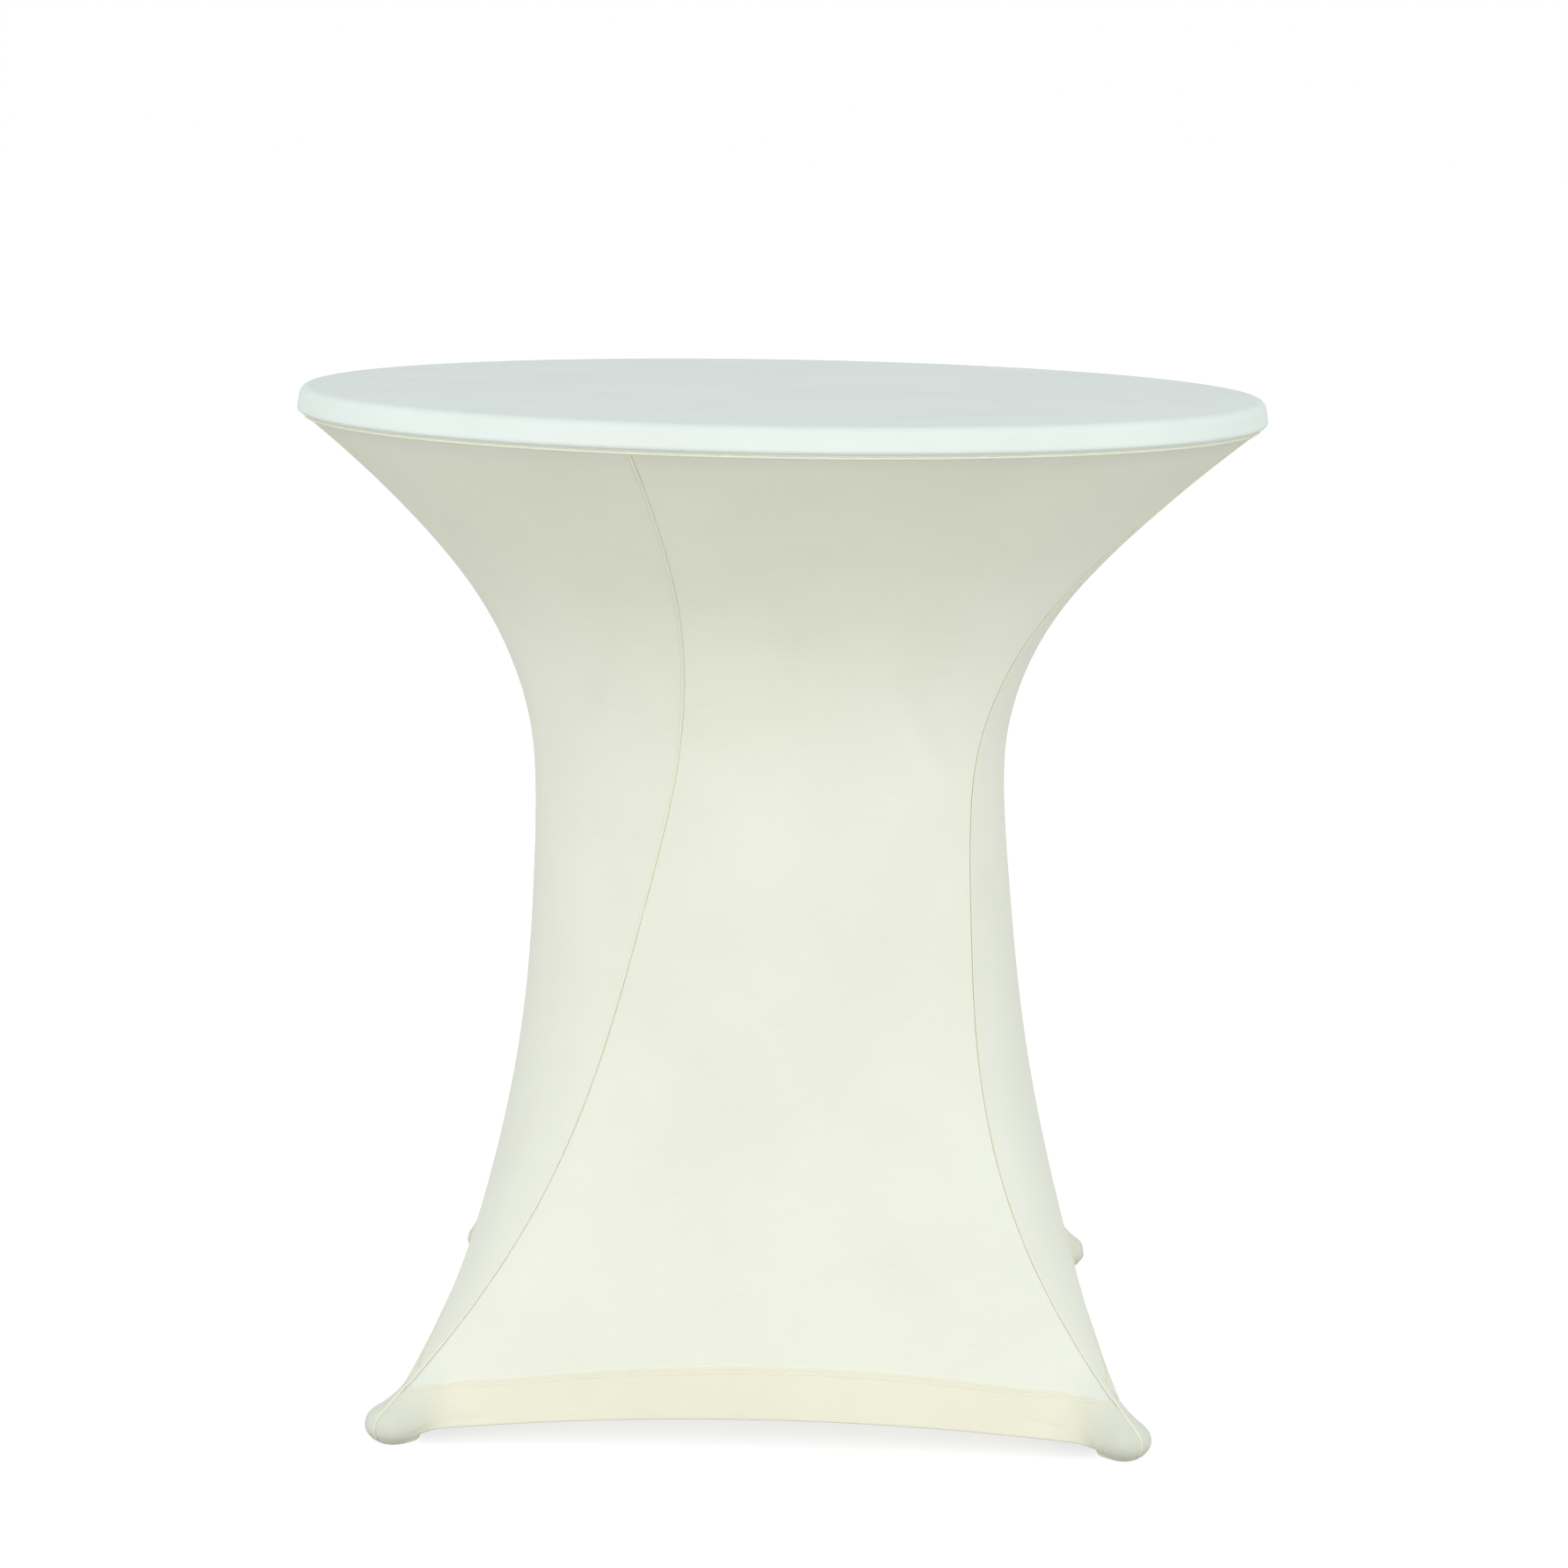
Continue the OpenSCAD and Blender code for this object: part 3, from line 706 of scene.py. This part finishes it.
PANEL_ROWS, BAND_ROWS = 132, 28
UNDER_HEM = 0.008  # the skirt panel runs this far under the hem band
HEM_WRAPS = 0.060  # the band deepens over this distance along the hem, on each side of a foot
STITCH_ROWS = (0.0032, 0.0072)  # the two rows of stitching, down from the band's upper edge
BAND_STEPS = (0, 0.0012, 0.0024, STITCH_ROWS[0], 0.0040, 0.0052, 0.0064, STITCH_ROWS[1], 0.0080)
STITCH_PITCH, STITCH_LONG, STITCH_R = 0.0032, 0.0024, 0.00042

NET = stretched_skirt()
N_SIDE = NET.shape[1] // 4
NET_NORMALS = outward(NET, wrap=True)
FRACTIONS = side_places(N_SIDE)


def corner_distance(k):
    """Distance along the hem from panel k's first corner and to its last, for each column."""
    span = np.linalg.norm(TOES[(k + 1) % 4] - TOES[k])
    return FRACTIONS * span, (1 - FRACTIONS) * span


def side_columns(k):
    return np.arange(k * N_SIDE, (k + 1) * N_SIDE + 1) % (4 * N_SIDE)


def with_edges(columns):
    """Two more columns just inside each seam, so that the cloth can dip into it."""

    def near(a, b):
        return [a + (b - a) * t for t in (0.2, 0.5)]

    first, last = columns[:, 0], columns[:, -1]
    a, b = near(first, columns[:, 1]), near(last, columns[:, -2])
    return np.stack([first, *a, *[columns[:, i] for i in range(1, columns.shape[1] - 1)], *b[::-1], last], 1)


def across_panel(grid):
    """Distances across a panel, for each point: to its nearer seam, to its first seam and to its last."""
    steps = np.linalg.norm(np.diff(grid, axis=1), axis=-1)
    first = np.concatenate([np.zeros((len(grid), 1)), np.cumsum(steps, axis=1)], axis=1)
    last = first[:, -1:] - first
    return np.minimum(first, last), first, last


def one_row(values):
    """A number for each column, with the two more columns at each seam."""
    return with_edges(values[..., None])[..., 0]


def read_evenly(line, count):
    """An evenly stepped line, read again at count points."""
    places, wanted = np.linspace(0, 1, len(line)), np.linspace(0, 1, count)
    return np.stack([np.interp(wanted, places, line[:, c]) for c in range(3)], 1)


def shared_normals(grid, edges):
    """Outward directions of a panel that agree with its neighbours' along its two seams."""
    normals = outward(grid)
    for (seam, first, second, clear), edge in zip(((0, 1, 2, 3), (-1, -2, -3, -4)), edges):
        normals[:, seam] = edge
        normals[:, first] = unit(edge * 0.8 + normals[:, clear] * 0.2)
        normals[:, second] = unit(edge * 0.5 + normals[:, clear] * 0.5)
    return normals


def seam_directions(k, wanted):
    """Outward directions along panel k's two seams, with the neighbouring panels taken in."""
    columns = np.arange(k * N_SIDE - 1, (k + 1) * N_SIDE + 2) % (4 * N_SIDE)
    wider = np.concatenate([wanted[:, 1:2], wanted, wanted[:, -2:-1]], axis=1)
    normals = outward(places_along(NET[:, columns], wider))
    return normals[:, 1], normals[:, -2]


def creases(listed, k, from_seams, down, depth, width):
    """How far the cloth sinks in along straight creases that fade towards their ends."""
    sunk = np.zeros_like(down)
    for panel, seam, start, end in listed:
        if panel == k:
            (x0, y0), (dx, dy) = start, (end[0] - start[0], end[1] - start[1])
            x, y = from_seams[seam] - x0, down - y0
            t = np.clip((x * dx + y * dy) / (dx * dx + dy * dy), 0, 1)
            sunk += depth * bump(np.hypot(x - dx * t, y - dy * t), width) * (0.3 + 0.7 * np.sin(np.pi * t))
    return sunk


def hem_depths(k):
    """Depth of the hem band in each column of panel k."""
    a, b = corner_distance(k)
    off = np.minimum(a, b)
    at_toe = bump(off, HEM_WRAPS)
    return HEM_DEPTH + (HEM_AT_TOE - HEM_DEPTH) * at_toe


def make_side(k):
    side = SIDES[k]
    net = NET[:, side_columns(k)]
    run = lengths(net)[-1]
    hem_top, hem_end = run - hem_depths(k), run

    # skirt panel, from the rim seam to a little way under the hem band
    t = np.linspace(0, 1, PANEL_ROWS)[:, None]
    wanted = t * (hem_top + UNDER_HEM)[None]
    grid = with_edges(places_along(net, wanted))
    down = one_row(wanted)
    edges = seam_directions(k, wanted)
    normals = shared_normals(grid, edges)
    off, first, last = across_panel(grid)
    pucker = wander(down * 420, off * 90, 3 + k)
    lift = -SEAM_DIP * bump(off, SEAM_DIP_WIDE) + 0.00022 * pucker * bump(off - 0.006, 0.007)
    lift = lift - creases(WAIST_CREASES, k, (first, last), down, WAIST_CREASE, WAIST_CREASE_WIDE)
    under = smooth((down - one_row(hem_top[None]) + 0.002) / 0.004)
    grid = grid + normals * (lift - 0.0006 * under)[..., None]
    uv = np.stack([first, -down], -1)
    points, faces, flat = shell(grid, shared_normals(grid, edges), KNIT, uv)
    panel = make_piece(f"knit_skirt_{side}", points, faces, SKIRT_KNIT, flat)
    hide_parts(f"skirt_panel_{side}")

    # hem band, two layers thick, with its upper edge sewn on and its lower edge folded
    steps = np.array(BAND_STEPS)
    rest = np.linspace(0, 1, BAND_ROWS)[1:]
    height = hem_end - hem_top
    lower = hem_top[None] + steps[-1] + rest[:, None] * (height - steps[-1])[None]
    wanted = np.concatenate([steps[:, None] + hem_top[None], lower])
    band = with_edges(places_along(net, wanted))
    down = one_row(wanted - hem_top[None])
    total = one_row(height[None])
    edges = seam_directions(k, wanted)
    normals = shared_normals(band, edges)
    off, first, last = across_panel(band)
    groove = bump(down - STITCH_ROWS[0], 0.0009) + bump(down - STITCH_ROWS[1], 0.0009)
    puff = bump(down - 0.0052, 0.0016) * 0.3 + smooth((down - 0.008) / 0.02) * smooth((total - down) / 0.012)
    uneven = wander(first * 55, down * 70, 11 + k) * 0.5 + wander(first * 21, down * 25, 17 + k) * 0.5
    lift = 0.0011 - 0.00045 * groove + 0.0004 * puff + 0.0005 * uneven * smooth(down / 0.015)
    lift = lift - SEAM_DIP * bump(off, SEAM_DIP_WIDE)
    lift = lift - creases(HEM_CREASES, k, (first, last), total - down, HEM_CREASE, HEM_CREASE_WIDE)
    band = band + normals * lift[..., None]
    uv = np.stack([first, -down], -1)
    points, faces, flat = shell(band, shared_normals(band, edges), HEM_THICK, uv)
    hem = make_piece(f"knit_hem_{side}", points, faces, HEM_KNIT, flat)
    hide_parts(f"hem_band_{side}")

    # two rows of cover stitch
    sewn = []
    for depth in STITCH_ROWS:
        row = BAND_STEPS.index(depth)
        line = even_line(band[row, 2:-2], 0.004)
        above = even_line(band[row, 2:-2] + normals[row, 2:-2] * 0.01, 0.004)
        up = unit(read_evenly(above, len(line)) - line)
        sewn.append(stitches(line + up * 0.0001, up, STITCH_PITCH, STITCH_LONG, STITCH_R))
    (points, faces), (more_points, more_faces) = sewn
    faces = faces + [[i + len(points) for i in f] for f in more_faces]
    points = np.concatenate([points, more_points])
    stitching = make_piece(f"hem_stitching_{side}", points, faces, THREAD)
    return panel, hem, stitching


def make_seam(k):
    column = k * N_SIDE
    line = NET[:, column]
    side = NET_NORMALS[:, column]
    run = lengths(line)
    start = run[-1] - hem_depths(k)[0]
    end = run[-1] - 0.001
    wanted = np.linspace(0.0008, end, int(end / 0.00085))
    path = places_along(line[:, None], wanted[:, None])[:, 0]
    up = unit(np.stack([np.interp(wanted, run, side[:, c]) for c in range(3)], 1))
    on_hem = smooth((wanted - start + 0.002) / 0.004)
    path = path + up * (0.0002 + 0.0010 * on_hem)[:, None]
    swell = 1 + 0.9 * bump(wanted - 0.0025, 0.0018) - 0.5 * smooth((wanted - end + 0.006) / 0.006)
    points, faces = thread(path, up, THREAD_WIDE, 0.0014, 0.0026, sides=8, swell=swell)
    piece = make_piece(f"seam_thread_{FEET[k]}", points, faces, THREAD)
    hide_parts(f"skirt_seam_{FEET[k]}")
    return piece


SOLE_BACK, SOLE_FRONT_IN, SOLE_SIDE_IN = -0.021, 0.0075, 0.0080  # from the glide's axis, and inside the foot's edges
SOLE_COLUMNS = 96
SOLE_SQUARE = 0.80  # power of the outline: 1 is an ellipse, and less is squarer
SOLE_FLAT = 0.88  # share of the outline that lies flat on the floor, under the glide's pad
SOLE_CURL, SOLE_TOP = 0.007, 0.010  # heights of its curled edge
SOLE_THICK = 0.0011
SOLE_FLOOR_GAP = 0.0001


def signed_power(x, power):
    return np.sign(x) * np.abs(x) ** power


def make_sole(k):
    """The sock's sole: a shallow cup under the glide, tucked up inside the hem band."""
    toe = TOES[k]
    e = unit(toe)
    n = np.array([-e[1], e[0]])
    front, half = TOE_END - SOLE_FRONT_IN, TOE_WIDE - SOLE_SIDE_IN
    mid, length = (SOLE_BACK + front) / 2, (front - SOLE_BACK) / 2
    count = SOLE_COLUMNS
    a = np.arange(count) * 2 * math.pi / count
    ahead = signed_power(np.cos(a), SOLE_SQUARE) * length
    aside = signed_power(np.sin(a), SOLE_SQUARE) * half
    rings = [(t, 0.0) for t in (0.12, 0.3, 0.5, 0.7, SOLE_FLAT)]
    for b in np.radians(np.linspace(10, 90, 8)):
        rings.append((SOLE_FLAT + (1 - SOLE_FLAT) * math.sin(b), SOLE_CURL * (1 - math.cos(b))))
    rings.append((1.0, SOLE_TOP))
    grid = np.zeros((len(rings), count, 3))
    for r, (t, z) in enumerate(rings):
        grid[r, :, :2] = toe + np.outer(mid + ahead * t, e) + np.outer(aside * t, n)
        grid[r, :, 2] = z + SOLE_FLOOR_GAP
    dimple = 0.0003 * wander(grid[..., 0] * 160, grid[..., 1] * 160, 31 + k)
    grid[..., 2] += np.maximum(dimple, -SOLE_FLOOR_GAP) * smooth((np.arange(len(rings)) - 4) / 4)[:, None]
    grid = grid[:, ::-1]
    normals = outward(grid, wrap=True)
    uv = grid[..., :2].copy()
    points, faces, flat = shell(grid, normals, SOLE_THICK, uv, wrap=True, round_top=False)
    faces = closed_middle(faces, len(rings), count)
    piece = make_piece(f"knit_sole_{FEET[k]}", points, faces, HEM_KNIT, flat)
    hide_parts(f"foot_pocket_{FEET[k]}")
    return piece


top = make_top()
rim_seam = make_rim_seam()
sides = [make_side(k) for k in range(4)]
seams = [make_seam(k) for k in range(4)]
soles = [make_sole(k) for k in range(4)]

# ---------------------------------------------------------------- camera, floor and light

scene = bpy.context.scene

EYE = (0.1080, -5.131, 1.447)
YAW, DOWN, ROLL = -0.0194, 0.154, 0.0172  # radians
LENS = 106.5
forward = np.array([math.sin(YAW) * math.cos(DOWN), math.cos(YAW) * math.cos(DOWN), -math.sin(DOWN)])
level = np.array([math.cos(YAW), -math.sin(YAW), 0])
over = np.cross(level, forward)
right = math.cos(ROLL) * level + math.sin(ROLL) * over
upward = -math.sin(ROLL) * level + math.cos(ROLL) * over
camera_data = bpy.data.cameras.new("camera")
camera_data.lens = LENS
camera_data.sensor_width = 36
camera_data.clip_end = 200
camera = bpy.data.objects.new("camera", camera_data)
scene.collection.objects.link(camera)
camera.matrix_world = Matrix(
    [[right[i], upward[i], -forward[i], EYE[i]] for i in range(3)] + [[0, 0, 0, 1]]
)
scene.camera = camera

floor_material = Nodes("studio_floor")
floor_place = floor_material.add("TexCoord").outputs["Object"]
floor_cloud = floor_material.noise(floor_place, 1.2)
floor_tone = floor_material.between(floor_cloud, (0.50, 0.505, 0.50), (0.52, 0.525, 0.52))
floor_material.set(
    Base_Color=floor_tone.outputs[0],
    Roughness=0.9,
    Specular_IOR_Level=0.1,
    Emission_Color=(1, 1, 1, 1),
    Emission_Strength=0.72,
)
floor_mesh = bpy.data.meshes.new("floor")
FLOOR = 60
floor_corners = [(x * FLOOR, y * FLOOR, 0) for x, y in ((-1, -1), (1, -1), (1, 1), (-1, 1))]
floor_mesh.from_pydata(floor_corners, [], [(0, 1, 2, 3)])
floor_mesh.materials.append(floor_material.material)
floor = bpy.data.objects.new("floor", floor_mesh)
scene.collection.objects.link(floor)

# The world is a light tent: bright at the sides, softer overhead, dimmer below, where it stands for what a
# studio floor sends back. So the floor itself is left out of the light that reaches the object.
floor.visible_diffuse = False
floor.visible_glossy = False
floor.visible_shadow = False
TENT_BELOW, TENT_SIDES, TENT_ABOVE = (0.40, 0.395, 0.345), (1.0, 1.0, 1.0), (0.64, 0.665, 0.665)
world = bpy.data.worlds.new("studio")
world.use_nodes = True
tent = world.node_tree
world_light = next(n for n in tent.nodes if n.type == "BACKGROUND")
direction = tent.nodes.new("ShaderNodeTexCoord")
parts = tent.nodes.new("ShaderNodeSeparateXYZ")
lift = tent.nodes.new("ShaderNodeMapRange")
lift.inputs["From Min"].default_value = -1
ramp = tent.nodes.new("ShaderNodeValToRGB")
tent.links.new(direction.outputs["Generated"], parts.inputs[0])
tent.links.new(parts.outputs[2], lift.inputs[0])
tent.links.new(lift.outputs[0], ramp.inputs[0])
tent.links.new(ramp.outputs[0], world_light.inputs[0])
ramp.color_ramp.elements[0].position, ramp.color_ramp.elements[0].color = 0.0, (*TENT_BELOW, 1)
ramp.color_ramp.elements[1].position, ramp.color_ramp.elements[1].color = 1.0, (*TENT_ABOVE, 1)
for place, colour in ((0.465, TENT_BELOW), (0.485, TENT_SIDES), (0.60, TENT_SIDES), (0.75, TENT_ABOVE)):
    ramp.color_ramp.elements.new(place).color = (*colour, 1)
world_light.inputs[1].default_value = 1.0
scene.world = world


def softbox(name, place, aim, size, power, colour):
    data = bpy.data.lights.new(name, "AREA")
    data.shape = "RECTANGLE"
    data.size, data.size_y = size
    data.energy = power
    data.color = colour
    light = bpy.data.objects.new(name, data)
    scene.collection.objects.link(light)
    place, aim = np.array(place, float), np.array(aim, float)
    back = unit(place - aim)
    across = unit(np.cross((0, 0, 1), back))
    tall = np.cross(back, across)
    light.matrix_world = Matrix([[across[i], tall[i], back[i], place[i]] for i in range(3)] + [[0, 0, 0, 1]])


softbox("front_softbox", (-0.3, -3.4, 1.35), (0, 0, 0.75), (2.6, 1.5), 25, (1.0, 0.98, 0.94))
softbox("right_softbox", (4.2, -2.2, 0.9), (0, 0, 0.7), (2.2, 2.2), 50, (0.90, 0.97, 1.0))
softbox("left_softbox", (-4.2, -2.0, 0.9), (0, 0, 0.7), (2.2, 2.2), 42, (0.90, 0.97, 1.0))
softbox("back_softbox", (0.4, 4.6, 2.2), (0, 0, 0.6), (3.0, 2.0), 10, (0.98, 0.99, 1.0))

scene.view_settings.view_transform = "Standard"
